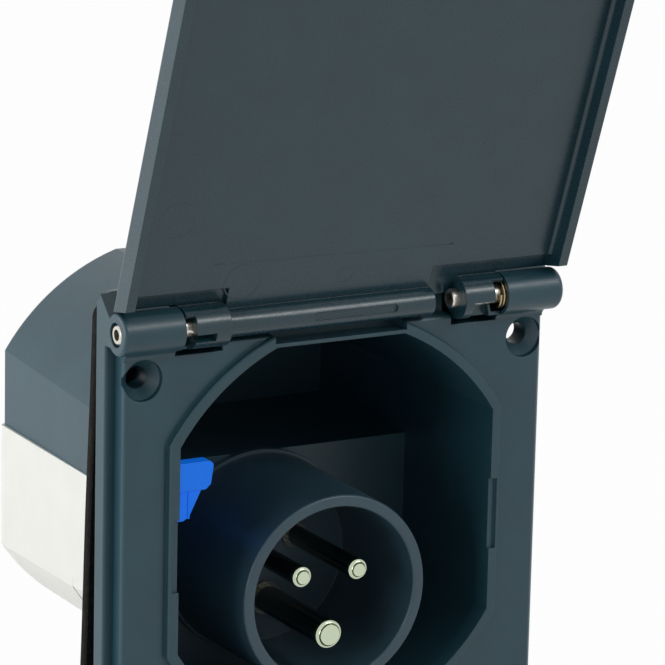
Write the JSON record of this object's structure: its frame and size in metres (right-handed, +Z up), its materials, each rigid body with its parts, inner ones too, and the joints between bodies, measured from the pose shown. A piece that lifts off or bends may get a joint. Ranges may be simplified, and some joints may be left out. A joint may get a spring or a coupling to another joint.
{
  "type": "CEE inlet",
  "caption": "Flush wall inlet with a hinged lid, a round shroud with three contact pins, a release lever, a terminal cover and a cable gland.",
  "frame": {"origin": "middle of the four wall screws, on the wall plane (the back of the gasket)", "axes": "+X to the right, +Y into the wall, +Z up; the lid stands open in front of and above the flange"},
  "size_m": [0.1204, 0.1527, 0.2282],
  "materials": {
    "anthracite_plastic": "semi-gloss, finely spark-eroded",
    "insert_plastic": "semi-gloss",
    "white_plastic": "smooth satin",
    "blue_plastic": "smooth",
    "gland_plastic": "satin",
    "gasket_foam": "closed-cell foam",
    "seal_rubber": "matt",
    "plated_steel": "zinc plated",
    "spring_steel": "yellow passivated wire",
    "nickel_plated_brass": "nickel plated, turned"
  },
  "bodies": {
    "housing": {"frame": "anthracite_plastic", "wall_gasket": "gasket_foam", "hinge_pin_left": "plated_steel", "hinge_pin_right": "plated_steel", "torsion_spring_left": "spring_steel", "torsion_spring_right": "spring_steel", "contact_insert": "insert_plastic", "insert_seal": "seal_rubber", "insert_screws": "plated_steel", "line_pin": "nickel_plated_brass", "neutral_pin": "nickel_plated_brass", "earth_pin": "nickel_plated_brass", "terminal_screws": "plated_steel", "lever_pivot_pin": "plated_steel", "lever_spring": "spring_steel", "rear_cover": "white_plastic", "rear_cover_screws": "plated_steel", "cable_gland_body": "gland_plastic", "cable_gland_locknut": "gland_plastic", "cable_gland_seal": "seal_rubber", "cable_gland_nut": "gland_plastic"},
    "lid": {"lid": "anthracite_plastic"},
    "lever": {"release_lever": "blue_plastic"}
  },
  "joints": [
    {"name": "lid_hinge", "type": "hinge", "parent": "housing", "child": "lid", "pos_m": [0, -0.0134, 0.05705], "axis": [1, 0, 0], "range_deg": [0, 160], "deforming": ["torsion_spring_left", "torsion_spring_right"]},
    {"name": "lever_pivot", "type": "hinge", "parent": "housing", "child": "lever", "pos_m": [0, 0.035, 0.017], "axis": [1, 0, 0], "range_deg": [0, 9], "stiffness_Nm_per_rad": 0.12, "springref_deg": -5.73, "deforming": ["lever_spring"]}
  ]
}
